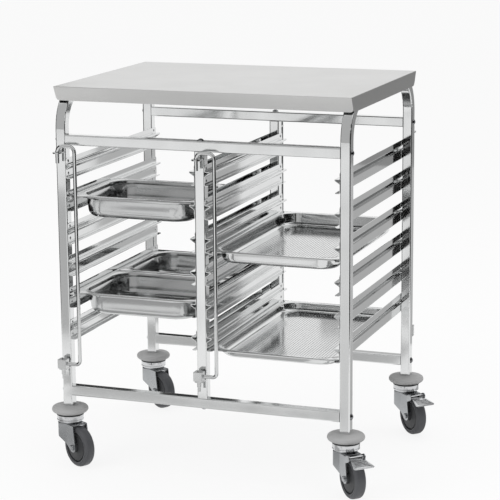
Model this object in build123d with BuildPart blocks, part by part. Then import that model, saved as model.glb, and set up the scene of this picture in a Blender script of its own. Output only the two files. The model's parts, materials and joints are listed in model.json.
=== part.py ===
"""Two-bay tray trolley of bright stainless tube and sheet, on four swivel castors.

Millimetres. X runs to the right, Y to the back and Z up. The origin lies on the floor,
under the middle of the frame.
"""

import math
import os

from build123d import *

os.makedirs("parts", exist_ok=True)

# Frame of square tube
FRAME_WIDTH = 740.0
FRAME_DEPTH = 550.0
TUBE = 25.0
TUBE_WALL = 1.2
TUBE_CORNER = 3.0
SIDE_BEND_RADIUS = 90.0
UPPER_RAIL_DROP = 116.0
LOWER_RAIL_RISE = 27.0

# Worktop: a folded sheet whose front and rear lips lean inwards
WORKTOP_HEIGHT = 941.0
WORKTOP_SHEET = 1.2
WORKTOP_OVERHANG = 2.0
WORKTOP_CORNER = 3.0
WORKTOP_FOLD = 2.0
LIP_HEIGHT = 36.0
LIP_LEAN = 18.0
STIFFENER_CHANNEL = 30.0
STIFFENER_FLANGE = 15.0
STIFFENER_HEIGHT = 18.0
STIFFENER_SHEET = 1.5
STIFFENER_SPACING = 240.0
STUD_DIAMETER = 6.0
STUD_INSET = 22.5
STUD_TAIL = 7.0
CAP_NUT_FLATS = 10.0
CAP_NUT_HEIGHT = 5.0
CAP_NUT_DOME = 5.0

# Runner plates: six to a column, each with a pressed rib and a bent lower ledge
LEVELS = 6
LEVEL_PITCH = 80.0
TOP_RIB_DROP = 47.0
RUNNER_SHEET = 1.2
RUNNER_BEND = 2.0
RUNNER_BAND = 15.0
RUNNER_END_ROUND = 6.0
RIB_REACH = 13.5
RIB_NOSE = 4.0
RIB_HEIGHT = 12.0
LEDGE_DROP = 33.0
LEDGE_REACH = 13.0

# Fasteners
BOLT_DIAMETER = 8.0
BOLT_HEAD_DIAMETER = 16.0
BOLT_HEAD_HEIGHT = 5.0
BOLT_GRIP = 20.0
PLUG_LENGTH = 25.0
RIVET_DIAMETER = 4.0
RIVET_HEAD_DIAMETER = 8.0
RIVET_HEAD_HEIGHT = 1.8
RIVET_TAIL = 4.0

# Lock bars: bent rods that swing across the bays' ends
ROD_DIAMETER = 9.0
BAR_REACH = 45.0
BAR_STANDOFF = 18.0
BAR_TOP_RISE = 5.0
BAR_SHORT_LEG = 42.0
BAR_TOP_BEND = 15.0
BAR_BOTTOM_BEND = 10.0
BLOCK_SIZE = 22.0
BLOCK_RISE = 61.0
BLOCK_ROUND = 1.5
PIN_DIAMETER = 10.0
PIN_LENGTH = 16.0
PIN_TIP_DIAMETER = 7.0
PIN_TIP_LENGTH = 11.0
LUG_PLATE = 3.0
LUG_WIDTH = 22.0
TOP_LUG_DROP = 15.0
REAR_BAR_OPENING = 78.0

# Castors
WHEEL_DIAMETER = 100.0
TYRE_WIDTH = 28.0
TYRE_DEPTH = 12.0
TYRE_ROUND = 8.0
RIM_WIDTH = 24.0
RIM_DEPTH = 7.0
WEB_WIDTH = 10.0
HUB_DIAMETER = 26.0
AXLE_DIAMETER = 8.0
AXLE_HEAD_DIAMETER = 14.0
AXLE_HEAD_HEIGHT = 5.0
AXLE_HEAD_ROUND = 2.5
AXLE_NUT_FLATS = 13.0
AXLE_NUT_HEIGHT = 6.5
TRAIL = 38.0
FORK_SHEET = 2.5
FORK_GAP = 38.0
FORK_HEADROOM = 5.0
FORK_BACK = 31.0
FORK_SHOULDER = 10.0
FORK_BEND = 11.0
FORK_BEND_ROUND = 6.0
FORK_FRONT = 40.0
FORK_BACK_HEIGHT = 19.0
FORK_TIP_RADIUS = 12.0
EAR_RADIUS = 8.0
KINGPIN_DIAMETER = 12.0
KINGPIN_HEAD_DIAMETER = 20.0
KINGPIN_HEAD_HEIGHT = 6.0
RACE_DIAMETER = 58.0
CUP_DIAMETER = 66.0
CUP_HEIGHT = 19.0
CUP_SHEET = 2.5
CUP_ROUND = 4.0
BUMPER_DIAMETER = 90.0
BUMPER_HEIGHT = 20.0
BUMPER_EDGE = 12.0
BUMPER_BULGE = 3.0
BUMPER_SEAT_DIAMETER = 40.0
EXPANDER_BOLT_GAP = 4.0
FRONT_LEFT_TRAIL = -31.0
REAR_LEFT_TRAIL = -34.0
FRONT_RIGHT_TRAIL = -48.0
REAR_RIGHT_TRAIL = -45.0

# Brake pedals of the two right-hand castors
PEDAL_PIN_DIAMETER = 6.0
PEDAL_PIN_OUT = 18.0
PEDAL_BOSS_GAP = 1.5
PEDAL_SLOPE = -12.0
PEDAL_PLATE = 4.0
PEDAL_LENGTH = 50.0
PEDAL_TAIL = 12.0
PEDAL_WIDTH = 56.0
PEDAL_NECK = 14.0
PEDAL_ROUND = 5.0
PEDAL_BOSS_RADIUS = 5.0
SHOE_GAP = 5.0
SHOE_START = 9.0
SHOE_LENGTH = 17.0
SHOE_DEPTH = 16.0
SHOE_WIDTH = 30.0

# Pans with a turned-down rim, in the catering sizes of one unit and half a unit
PAN_SIDE_GAP = 3.75
PAN_SETBACK = 7.0
PAN_REAR_GAP = 13.0
HALF_PAN_DEPTH = 265.0
PAN_SHEET = 0.8
PAN_RIM = 13.0
PAN_RIM_HEIGHT = 3.0
PAN_RIM_CORNER = 16.0
PAN_CORNER = 48.0
PAN_FLOOR_ROUND = 12.0
PAN_TAPER = 5.0
PAN_SPACING = 1.0
DEEP_PERFORATED_PAN = 30.0
SHALLOW_PERFORATED_PAN = 20.0
HALF_PAN_HEIGHT = 55.0

# Clearances
LIP_CLEARANCE = 0.8
SLIP_CLEARANCE = 0.1
RUNNING_CLEARANCE = 0.05
SIDE_CLEARANCE = 0.3

# Places worked out from the sizes
half_width = FRAME_WIDTH / 2
half_depth = FRAME_DEPTH / 2
leg_x = half_width - TUBE / 2
leg_y = half_depth - TUBE / 2
rail_end = half_width - TUBE
tube_bore = TUBE - 2 * TUBE_WALL
tube_bore_corner = TUBE_CORNER - TUBE_WALL
frame_top = WORKTOP_HEIGHT - WORKTOP_SHEET

axle_height = WHEEL_DIAMETER / 2
fork_underside = WHEEL_DIAMETER + FORK_HEADROOM
fork_top = fork_underside + FORK_SHEET
cup_bottom = fork_top + CUP_SHEET
cup_top = cup_bottom + CUP_HEIGHT
leg_bottom = cup_top + BUMPER_HEIGHT

upper_rail_top = WORKTOP_HEIGHT - UPPER_RAIL_DROP
upper_rail_bottom = upper_rail_top - TUBE
lower_rail_bottom = leg_bottom + LOWER_RAIL_RISE
lower_rail_top = lower_rail_bottom + TUBE
rail_axes = [
    (y, z + TUBE / 2)
    for y in (-leg_y, leg_y)
    for z in (lower_rail_bottom, upper_rail_bottom)
]
rib_tops = [upper_rail_bottom - TOP_RIB_DROP - level * LEVEL_PITCH for level in range(LEVELS)]
rivet_offsets = (RUNNER_BAND / 2, -(RIB_HEIGHT + LEDGE_DROP) / 2)
rivet_heights = [rib + offset for rib in rib_tops for offset in rivet_offsets]
rivet_places = [(y, z) for y in (-leg_y, leg_y) for z in rivet_heights]
runner_columns = {
    "left_runners": (-rail_end, 1),
    "middle_left_runners": (-TUBE / 2, -1),
    "middle_right_runners": (TUBE / 2, 1),
    "right_runners": (rail_end, -1),
}
bolt_hole_radius = BOLT_DIAMETER / 2 + SLIP_CLEARANCE
rivet_hole_radius = RIVET_DIAMETER / 2 + RUNNING_CLEARANCE
stud_hole_radius = STUD_DIAMETER / 2 + SLIP_CLEARANCE
stud_y = leg_y - SIDE_BEND_RADIUS - STUD_INSET
stud_places = [(x, y) for x in (-leg_x, leg_x) for y in (-stud_y, stud_y)]
bay_width = rail_end - TUBE / 2
bay_middle = (rail_end + TUBE / 2) / 2
pan_width = bay_width - 2 * PAN_SIDE_GAP
pan_depth = FRAME_DEPTH - PAN_SETBACK - PAN_REAR_GAP
castor_places = [(x, y) for x in (-leg_x, leg_x) for y in (-leg_y, leg_y)]
expander_length = LOWER_RAIL_RISE + (TUBE - BOLT_DIAMETER) / 2 - EXPANDER_BOLT_GAP


def save(piece, name):
    """Labels a finished piece and writes it as a file of its own."""
    piece.part.label = name
    export_step(piece.part, f"parts/{name}.step")


def tube_section():
    """The wall of the square tube, drawn in the open sketch."""
    RectangleRounded(TUBE, TUBE, TUBE_CORNER)
    RectangleRounded(tube_bore, tube_bore, tube_bore_corner, mode=Mode.SUBTRACT)


# Side frames: one tube each, bent to an upside-down U, drilled for bolts, rivets and studs
for name, side in (("left_side_frame", -1), ("right_side_frame", 1)):
    bow_height = frame_top - TUBE / 2
    with BuildPart() as side_frame:
        with BuildLine(Plane.YZ.offset(side * leg_x)):
            FilletPolyline(
                (-leg_y, leg_bottom),
                (-leg_y, bow_height),
                (leg_y, bow_height),
                (leg_y, leg_bottom),
                radius=SIDE_BEND_RADIUS,
            )
        with BuildSketch(Plane.XY.offset(leg_bottom)):
            with Locations((side * leg_x, -leg_y)):
                tube_section()
        sweep()
        with BuildSketch(Plane.YZ.offset(side * rail_end)):
            with Locations(*rail_axes):
                Circle(bolt_hole_radius)
        extrude(amount=side * TUBE, mode=Mode.SUBTRACT)
        with BuildSketch(Plane.YZ.offset(side * rail_end)):
            with Locations(*rivet_places):
                Circle(rivet_hole_radius)
        extrude(amount=side * TUBE / 2, mode=Mode.SUBTRACT)
        with BuildSketch(Plane.XY.offset(frame_top - TUBE)):
            with Locations(*stud_places):
                Circle(stud_hole_radius)
        extrude(amount=TUBE, mode=Mode.SUBTRACT)
    save(side_frame, name)

# Rails between the side frames, drilled upright at the middle for the posts' bolts
for name, y, bottom in (
    ("front_lower_rail", -leg_y, lower_rail_bottom),
    ("rear_lower_rail", leg_y, lower_rail_bottom),
    ("front_upper_rail", -leg_y, upper_rail_bottom),
    ("rear_upper_rail", leg_y, upper_rail_bottom),
):
    with BuildPart() as rail:
        with BuildSketch(Plane.YZ.offset(-rail_end)):
            with Locations((y, bottom + TUBE / 2)):
                tube_section()
        extrude(amount=2 * rail_end)
        with BuildSketch(Plane.XY.offset(bottom)):
            with Locations((0, y)):
                Circle(bolt_hole_radius)
        extrude(amount=TUBE, mode=Mode.SUBTRACT)
    save(rail, name)

# Middle posts, standing on the lower rails and carrying runners on both sides
for name, y in (("front_middle_post", -leg_y), ("rear_middle_post", leg_y)):
    with BuildPart() as post:
        with BuildSketch(Plane.XY.offset(lower_rail_top)):
            with Locations((0, y)):
                tube_section()
        extrude(amount=upper_rail_bottom - lower_rail_top)
        with BuildSketch(Plane.YZ):
            with Locations(*[(y, z) for z in rivet_heights]):
                Circle(rivet_hole_radius)
        extrude(amount=TUBE / 2, both=True, mode=Mode.SUBTRACT)
    save(post, name)

# Threaded plugs in the ends of the rails and the middle posts
with BuildPart() as plug:
    with BuildSketch():
        RectangleRounded(
            tube_bore - 2 * SLIP_CLEARANCE, tube_bore - 2 * SLIP_CLEARANCE, tube_bore_corner
        )
        Circle(BOLT_DIAMETER / 2 + RUNNING_CLEARANCE, mode=Mode.SUBTRACT)
    extrude(amount=-PLUG_LENGTH)

plug_seats = [
    Plane(origin=(side * rail_end, y, z), x_dir=(0, 1, 0), z_dir=(side, 0, 0))
    for side in (-1, 1)
    for y, z in rail_axes
]
for y in (-leg_y, leg_y):
    plug_seats.append(Plane(origin=(0, y, upper_rail_bottom), z_dir=(0, 0, 1)))
    plug_seats.append(Plane(origin=(0, y, lower_rail_top), z_dir=(0, 0, -1)))
with BuildPart() as tube_end_plugs:
    with Locations(*[seat.location for seat in plug_seats]):
        add(plug.part)
save(tube_end_plugs, "tube_end_plugs")


def dome(diameter, height, seat=0):
    """Half the outline of a domed head on its seat, drawn beside the open sketch's Y axis."""
    curve = (diameter**2 / 4 + height**2) / (2 * height)
    with BuildLine() as outline:
        Line((0, seat), (diameter / 2, seat))
        RadiusArc((diameter / 2, seat), (0, seat + height), -curve)
        Line((0, seat + height), (0, seat))
    make_face(outline.edges())


# Domed bolts: through the legs into the rails, and through the rails into the posts
with BuildPart() as bolt:
    with BuildSketch(Plane.XZ):
        dome(BOLT_HEAD_DIAMETER, BOLT_HEAD_HEIGHT)
        with Locations((0, -(TUBE + BOLT_GRIP))):
            Rectangle(BOLT_DIAMETER / 2, TUBE + BOLT_GRIP, align=(Align.MIN, Align.MIN))
    revolve(axis=Axis.Z)

with BuildPart() as frame_bolts:
    with Locations(*[seat.offset(TUBE).location for seat in plug_seats]):
        add(bolt.part)
save(frame_bolts, "frame_bolts")

# Worktop: sheet folded down along its four edges
worktop_width = FRAME_WIDTH + 2 * (WORKTOP_SHEET + LIP_CLEARANCE)
worktop_depth = FRAME_DEPTH + 2 * WORKTOP_OVERHANG
with BuildPart() as worktop:
    with BuildSketch(Plane.XY.offset(WORKTOP_HEIGHT - LIP_HEIGHT)):
        Rectangle(worktop_width, worktop_depth - 2 * LIP_LEAN)
    with BuildSketch(Plane.XY.offset(WORKTOP_HEIGHT)):
        Rectangle(worktop_width, worktop_depth)
    loft()
    top_edges = worktop.faces().sort_by(Axis.Z)[-1].edges()
    bottom_edges = worktop.faces().sort_by(Axis.Z)[0].edges()
    corners = [e for e in worktop.edges() if e not in top_edges and e not in bottom_edges]
    fillet(corners, radius=WORKTOP_CORNER)
    fillet(worktop.faces().sort_by(Axis.Z)[-1].edges(), radius=WORKTOP_FOLD)
    offset(amount=-WORKTOP_SHEET, openings=worktop.faces().sort_by(Axis.Z)[0])
save(worktop, "worktop")

# Two top-hat channels welded under the worktop, from side frame to side frame
channel_floor = frame_top - STIFFENER_HEIGHT
with BuildPart() as worktop_stiffeners:
    for y in (-STIFFENER_SPACING / 2, STIFFENER_SPACING / 2):
        near = y - STIFFENER_CHANNEL / 2
        far = y + STIFFENER_CHANNEL / 2
        with BuildSketch(Plane.YZ.offset(-rail_end)):
            with BuildLine():
                Polyline(
                    (near - STIFFENER_FLANGE, frame_top),
                    (near, frame_top),
                    (near, channel_floor),
                    (far, channel_floor),
                    (far, frame_top),
                    (far + STIFFENER_FLANGE, frame_top),
                )
                offset(
                    amount=STIFFENER_SHEET, kind=Kind.INTERSECTION, side=Side.RIGHT, closed=True
                )
            make_face()
        extrude(amount=2 * rail_end)
save(worktop_stiffeners, "worktop_stiffeners")

# Studs welded under the worktop, and the cap nuts that clamp it to the side frames
with BuildPart() as worktop_studs:
    with BuildSketch(Plane.XY.offset(frame_top)):
        with Locations(*stud_places):
            Circle(STUD_DIAMETER / 2)
    extrude(amount=-(TUBE + STUD_TAIL))
save(worktop_studs, "worktop_studs")

with BuildPart() as cap_nut:
    with BuildSketch():
        RegularPolygon(CAP_NUT_FLATS / 2, 6, major_radius=False)
    extrude(amount=CAP_NUT_HEIGHT)
    with BuildSketch(Plane.XZ):
        dome(CAP_NUT_FLATS, CAP_NUT_DOME, seat=CAP_NUT_HEIGHT)
    revolve(axis=Axis.Z)
    with BuildSketch():
        Circle(STUD_DIAMETER / 2 + RUNNING_CLEARANCE)
    extrude(amount=STUD_TAIL + SIDE_CLEARANCE, mode=Mode.SUBTRACT)

with BuildPart() as worktop_cap_nuts:
    with Locations(*[Location((x, y, frame_top - TUBE), (180, 0, 0)) for x, y in stud_places]):
        add(cap_nut.part)
save(worktop_cap_nuts, "worktop_cap_nuts")

# Runner plates: the band with its rivets, the pressed rib, and the ledge along the bottom
with BuildPart() as runner:
    with BuildSketch(Plane.XZ):
        with BuildLine():
            FilletPolyline(
                (RUNNER_SHEET, RUNNER_BAND),
                (RUNNER_SHEET, 0),
                (RIB_REACH, 0),
                (RIB_REACH, -RIB_NOSE),
                (RUNNER_SHEET, -RIB_HEIGHT),
                (RUNNER_SHEET, -LEDGE_DROP),
                (LEDGE_REACH, -LEDGE_DROP),
                radius=RUNNER_BEND,
            )
            offset(amount=RUNNER_SHEET, side=Side.RIGHT, closed=True)
        make_face()
    extrude(amount=half_depth, both=True)
    band_corners = runner.edges().filter_by(Axis.X).group_by(Axis.Z)[-1]
    ledge_corners = runner.edges().filter_by(Axis.Z).group_by(Axis.Z)[0]
    fillet(band_corners + ledge_corners, radius=RUNNER_END_ROUND)
    with BuildSketch(Plane.YZ):
        with Locations(*[(y, z) for y in (-leg_y, leg_y) for z in rivet_offsets]):
            Circle(rivet_hole_radius)
    extrude(amount=RIB_REACH, mode=Mode.SUBTRACT)

for name, (face, facing) in runner_columns.items():
    turn = 0 if facing > 0 else 180
    with BuildPart() as column:
        with Locations(*[Location((face, 0, rib), (0, 0, turn)) for rib in rib_tops]):
            add(runner.part)
    save(column, name)

# Blind rivets, two to a plate at each post
with BuildPart() as rivet:
    with BuildSketch(Plane.XZ):
        dome(RIVET_HEAD_DIAMETER, RIVET_HEAD_HEIGHT)
        with Locations((0, -(RUNNER_SHEET + TUBE_WALL + RIVET_TAIL))):
            Rectangle(
                RIVET_DIAMETER / 2,
                RUNNER_SHEET + TUBE_WALL + RIVET_TAIL,
                align=(Align.MIN, Align.MIN),
            )
    revolve(axis=Axis.Z)

rivet_seats = [
    Plane(origin=(face + facing * RUNNER_SHEET, y, z), z_dir=(facing, 0, 0))
    for face, facing in runner_columns.values()
    for y, z in rivet_places
]
with BuildPart() as runner_rivets:
    with Locations(*[seat.location for seat in rivet_seats]):
        add(rivet.part)
save(runner_rivets, "runner_rivets")

# Lock bars: a rod bent over at the top, with an arm at the bottom that enters a square block
bar_top = upper_rail_bottom + BAR_TOP_RISE - ROD_DIAMETER / 2
block_height = lower_rail_top + BLOCK_RISE
bottom_lug_top = block_height - BLOCK_SIZE / 2 - SIDE_CLEARANCE
top_lug_top = upper_rail_bottom - TOP_LUG_DROP
with BuildPart() as bar:
    with BuildLine(Plane.XZ):
        FilletPolyline(
            (0, bar_top - BAR_SHORT_LEG),
            (0, bar_top),
            (BAR_REACH, bar_top),
            (BAR_REACH, block_height),
            (BLOCK_SIZE / 2, block_height),
            radius=(BAR_TOP_BEND, BAR_TOP_BEND, BAR_BOTTOM_BEND),
        )
    with BuildSketch(Plane.XY.offset(bar_top - BAR_SHORT_LEG)):
        Circle(ROD_DIAMETER / 2)
    sweep()

with BuildPart() as block:
    with BuildSketch(Plane.XY.offset(block_height - BLOCK_SIZE / 2)):
        Rectangle(BLOCK_SIZE, BLOCK_SIZE)
    extrude(amount=BLOCK_SIZE)
    fillet(block.edges().filter_by(Axis.Z), radius=BLOCK_ROUND)
    with BuildSketch(Plane.XY.offset(block_height - BLOCK_SIZE / 2)):
        Circle(PIN_DIAMETER / 2)
    extrude(amount=-PIN_LENGTH)
    with BuildSketch(Plane.XY.offset(block_height - BLOCK_SIZE / 2 - PIN_LENGTH)):
        Circle(PIN_TIP_DIAMETER / 2)
    extrude(amount=-PIN_TIP_LENGTH)

bar_y = half_depth + BAR_STANDOFF
lock_bars = {
    "front_left": (-leg_x, -bar_y, 0),
    "front_middle": (0, -bar_y, 0),
    "rear_right": (leg_x, bar_y, 180 - REAR_BAR_OPENING),
    "rear_middle": (0, bar_y, 180 - REAR_BAR_OPENING),
}
for name, (x, y, angle) in lock_bars.items():
    with BuildPart() as lock_bar:
        with Locations(Location((x, y, 0), (0, 0, angle))):
            add(bar.part)
    save(lock_bar, f"{name}_lock_bar")
    with BuildPart() as lock_block:
        with Locations(Location((x, y, 0), (0, 0, angle))):
            add(block.part)
    save(lock_block, f"{name}_lock_block")


def lug(top, hole_radius):
    """A bored plate that reaches out from the post behind the bar's axis, in the open part."""
    with BuildSketch(Plane.XY.offset(top - LUG_PLATE)) as plate:
        Circle(LUG_WIDTH / 2)
        Rectangle(LUG_WIDTH, BAR_STANDOFF, align=(Align.CENTER, Align.MIN))
        Circle(hole_radius, mode=Mode.SUBTRACT)
    extrude(plate.sketch, amount=LUG_PLATE)


with BuildPart() as lug_pair:
    lug(top_lug_top, ROD_DIAMETER / 2 + RUNNING_CLEARANCE)
    lug(bottom_lug_top, PIN_DIAMETER / 2 + RUNNING_CLEARANCE)

with BuildPart() as lock_bar_lugs:
    for x, y, angle in lock_bars.values():
        with Locations(Location((x, y, 0), (0, 0, 0 if y < 0 else 180))):
            add(lug_pair.part)
save(lock_bar_lugs, "lock_bar_lugs")

# Castor heads: bumper disc, bearing cup and ball race round a kingpin held in the leg
kingpin_radius = KINGPIN_DIAMETER / 2
kingpin_hole = kingpin_radius + RUNNING_CLEARANCE
bumper_middle = cup_top + BUMPER_HEIGHT / 2
edge_top = (BUMPER_DIAMETER / 2 - BUMPER_BULGE, bumper_middle + BUMPER_EDGE / 2)
edge_bottom = (BUMPER_DIAMETER / 2 - BUMPER_BULGE, bumper_middle - BUMPER_EDGE / 2)
with BuildPart() as bumper:
    with BuildSketch(Plane.XZ):
        with BuildLine():
            Polyline(
                edge_bottom,
                (CUP_DIAMETER / 2, cup_top),
                (kingpin_hole, cup_top),
                (kingpin_hole, leg_bottom),
                (BUMPER_SEAT_DIAMETER / 2, leg_bottom),
                edge_top,
            )
            ThreePointArc(edge_top, (BUMPER_DIAMETER / 2, bumper_middle), edge_bottom)
        make_face()
    revolve(axis=Axis.Z)

with BuildPart() as cup:
    with BuildSketch(Plane.XY.offset(cup_bottom)):
        Circle(CUP_DIAMETER / 2)
    extrude(amount=CUP_HEIGHT)
    fillet(cup.edges().group_by(Axis.Z)[-1], radius=CUP_ROUND)
    offset(amount=-CUP_SHEET, openings=cup.faces().sort_by(Axis.Z)[0])
    with BuildSketch(Plane.XY.offset(cup_bottom)):
        Circle(kingpin_hole)
    extrude(amount=CUP_HEIGHT, mode=Mode.SUBTRACT)

race_bottom = fork_top + SIDE_CLEARANCE
with BuildPart() as race:
    with BuildSketch(Plane.XY.offset(race_bottom)):
        Circle(RACE_DIAMETER / 2)
        Circle(kingpin_hole, mode=Mode.SUBTRACT)
    extrude(amount=cup_top - CUP_SHEET - race_bottom)
    fillet(race.faces().sort_by(Axis.Z)[-1].outer_wire().edges(), radius=CUP_ROUND)

kingpin_seat = fork_underside - SIDE_CLEARANCE
with BuildPart() as kingpin:
    with BuildSketch(Plane.XY.offset(kingpin_seat - KINGPIN_HEAD_HEIGHT)):
        Circle(KINGPIN_HEAD_DIAMETER / 2)
    extrude(amount=KINGPIN_HEAD_HEIGHT)
    with BuildSketch(Plane.XY.offset(kingpin_seat)):
        Circle(kingpin_radius)
    extrude(amount=leg_bottom + expander_length - kingpin_seat)

with BuildPart() as expander:
    with BuildSketch(Plane.XY.offset(leg_bottom)):
        RectangleRounded(
            tube_bore - 2 * SLIP_CLEARANCE, tube_bore - 2 * SLIP_CLEARANCE, tube_bore_corner
        )
        Circle(kingpin_hole, mode=Mode.SUBTRACT)
    extrude(amount=expander_length)

for name, piece in (
    ("castor_bumpers", bumper),
    ("castor_head_cups", cup),
    ("castor_ball_races", race),
    ("castor_kingpins", kingpin),
    ("castor_expanders", expander),
):
    with BuildPart() as set_of_four:
        with Locations(*[(x, y, 0) for x, y in castor_places]):
            add(piece.part)
    save(set_of_four, name)

# Castor fork, drawn with the wheel trailing along X: a sheet folded round the back of a crown and
# drawn in to two flat cheeks, trimmed from the side; the braked ones have two ears as well
cheek_middle = (FORK_GAP + FORK_SHEET) / 2
cheek_outside = FORK_GAP / 2 + FORK_SHEET
pedal_pin_reach = axle_height + PEDAL_BOSS_RADIUS + PEDAL_BOSS_GAP
pedal_pin_x = TRAIL + PEDAL_PIN_OUT
pedal_pin_z = axle_height + math.sqrt(pedal_pin_reach**2 - PEDAL_PIN_OUT**2)
fork_tip = axle_height - FORK_TIP_RADIUS
fork_reach = TRAIL + FORK_TIP_RADIUS + FORK_SHEET
shoulder_half = math.sqrt(FORK_BACK**2 - FORK_SHOULDER**2)
with BuildSketch() as fork_plan:
    with BuildLine():
        ThreePointArc(
            (-FORK_SHOULDER, shoulder_half), (-FORK_BACK, 0), (-FORK_SHOULDER, -shoulder_half)
        )
        Polyline(
            (-FORK_SHOULDER, -shoulder_half),
            (FORK_BEND, -cheek_outside),
            (fork_reach, -cheek_outside),
            (fork_reach, cheek_outside),
            (FORK_BEND, cheek_outside),
            (-FORK_SHOULDER, shoulder_half),
        )
    make_face()
    fillet(fork_plan.vertices().sort_by(Axis.X)[:4], radius=FORK_BEND_ROUND)

with BuildPart() as fork:
    with BuildSketch(Plane.XY.offset(fork_tip)):
        add(fork_plan.sketch)
        offset(fork_plan.sketch, amount=-FORK_SHEET, mode=Mode.SUBTRACT)
    extrude(amount=fork_underside - fork_tip)
    with BuildSketch(Plane.XY.offset(fork_underside)):
        add(fork_plan.sketch)
        Circle(kingpin_hole, mode=Mode.SUBTRACT)
    extrude(amount=FORK_SHEET)
    with BuildSketch(Plane.XZ):
        with Locations((-FORK_BACK, fork_top)):
            Rectangle(
                FORK_BACK + FORK_FRONT,
                FORK_SHEET + FORK_BACK_HEIGHT,
                align=(Align.MIN, Align.MAX),
            )
        with Locations((TRAIL, axle_height)):
            Circle(FORK_TIP_RADIUS)
        make_hull()
        with Locations((TRAIL, axle_height)):
            Circle(AXLE_DIAMETER / 2 + RUNNING_CLEARANCE, mode=Mode.SUBTRACT)
    extrude(amount=FORK_BACK, both=True, mode=Mode.INTERSECT)

with BuildPart() as braked_fork:
    add(fork.part)
    for side in (-1, 1):
        with BuildSketch(Plane.XZ.offset(side * cheek_middle)):
            with Locations((pedal_pin_x, pedal_pin_z)):
                Circle(EAR_RADIUS)
            with Locations((TRAIL, pedal_pin_z - EAR_RADIUS)):
                Circle(EAR_RADIUS)
            make_hull()
            with Locations((pedal_pin_x, pedal_pin_z)):
                Circle(PEDAL_PIN_DIAMETER / 2 + RUNNING_CLEARANCE, mode=Mode.SUBTRACT)
        extrude(amount=FORK_SHEET / 2, both=True)

# Axle bolt with its nut, as two solids
with BuildPart() as axle:
    with BuildSketch(Plane.XZ.offset(cheek_outside)):
        with Locations((TRAIL, axle_height)):
            Circle(AXLE_HEAD_DIAMETER / 2)
    extrude(amount=AXLE_HEAD_HEIGHT)
    fillet(axle.edges().sort_by(Axis.Y)[0], radius=AXLE_HEAD_ROUND)
    with BuildSketch(Plane.XZ.offset(cheek_outside)):
        with Locations((TRAIL, axle_height)):
            Circle(AXLE_DIAMETER / 2)
    extrude(amount=-(2 * cheek_outside + AXLE_NUT_HEIGHT))
    with BuildSketch(Plane.XZ.offset(-cheek_outside)):
        with Locations((TRAIL, axle_height)):
            RegularPolygon(AXLE_NUT_FLATS / 2, 6, major_radius=False)
            Circle(AXLE_DIAMETER / 2 + RUNNING_CLEARANCE, mode=Mode.SUBTRACT)
    extrude(amount=-AXLE_NUT_HEIGHT)

# Wheel: a moulded core that turns on the axle, and the tyre round it
wheel_axis = Axis((TRAIL, 0, axle_height), (0, 1, 0))
tyre_bore = axle_height - TYRE_DEPTH
hub_width = FORK_GAP - 2 * SIDE_CLEARANCE
with BuildPart() as core:
    with BuildSketch(Plane.XY.offset(axle_height)):
        with Locations((TRAIL, 0)):
            Rectangle(HUB_DIAMETER / 2, hub_width, align=(Align.MIN, Align.CENTER))
            Rectangle(tyre_bore, WEB_WIDTH, align=(Align.MIN, Align.CENTER))
        with Locations((TRAIL + tyre_bore, 0)):
            Rectangle(RIM_DEPTH, RIM_WIDTH, align=(Align.MAX, Align.CENTER))
        with Locations((TRAIL, 0)):
            Rectangle(
                AXLE_DIAMETER / 2 + RUNNING_CLEARANCE,
                hub_width,
                align=(Align.MIN, Align.CENTER),
                mode=Mode.SUBTRACT,
            )
    revolve(axis=wheel_axis)

with BuildPart() as tyre:
    with BuildSketch(Plane.XY.offset(axle_height)) as tyre_section:
        with Locations((TRAIL + tyre_bore, 0)):
            Rectangle(TYRE_DEPTH, TYRE_WIDTH, align=(Align.MIN, Align.CENTER))
        fillet(tyre_section.vertices().group_by(Axis.X)[-1], radius=TYRE_ROUND)
    revolve(axis=wheel_axis)

# Brake pedal, drawn along X from its pin and then tipped by its slope, with the shoe below
pedal_frame = Plane(
    origin=(pedal_pin_x, 0, pedal_pin_z),
    x_dir=(math.cos(math.radians(PEDAL_SLOPE)), 0, math.sin(math.radians(PEDAL_SLOPE))),
    z_dir=(-math.sin(math.radians(PEDAL_SLOPE)), 0, math.cos(math.radians(PEDAL_SLOPE))),
)
pedal_side = Plane(origin=pedal_frame.origin, x_dir=pedal_frame.x_dir, z_dir=(0, -1, 0))
pedal_root_width = FORK_GAP - 2 * SIDE_CLEARANCE
pin_bore = PEDAL_PIN_DIAMETER / 2 + RUNNING_CLEARANCE
with BuildPart() as pedal:
    with BuildSketch(pedal_frame.offset(-PEDAL_PLATE / 2)) as pedal_plan:
        with BuildLine():
            Polyline(
                (-PEDAL_TAIL, -pedal_root_width / 2),
                (PEDAL_NECK, -pedal_root_width / 2),
                (PEDAL_LENGTH, -PEDAL_WIDTH / 2),
                (PEDAL_LENGTH, PEDAL_WIDTH / 2),
                (PEDAL_NECK, pedal_root_width / 2),
                (-PEDAL_TAIL, pedal_root_width / 2),
                close=True,
            )
        make_face()
        fillet(pedal_plan.vertices().group_by(Axis.X)[-1], radius=PEDAL_ROUND)
    extrude(amount=PEDAL_PLATE)
    with BuildSketch(pedal_side):
        Circle(PEDAL_BOSS_RADIUS)
    extrude(amount=pedal_root_width / 2, both=True)
    with BuildSketch(pedal_side):
        Circle(pin_bore)
    extrude(amount=pedal_root_width, both=True, mode=Mode.SUBTRACT)

with BuildPart() as shoe:
    with BuildSketch(pedal_side):
        with Locations((SHOE_START, -PEDAL_PLATE / 2)):
            Rectangle(SHOE_LENGTH, SHOE_DEPTH, align=(Align.MIN, Align.MAX))
        with Locations(pedal_side.to_local_coords(Vector(TRAIL, 0, axle_height))):
            Circle(axle_height + SHOE_GAP, mode=Mode.SUBTRACT)
    extrude(amount=SHOE_WIDTH / 2, both=True)

with BuildPart() as pedal_pin:
    with BuildSketch(Plane.XZ):
        with Locations((pedal_pin_x, pedal_pin_z)):
            Circle(PEDAL_PIN_DIAMETER / 2)
    extrude(amount=cheek_outside, both=True)

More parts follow.
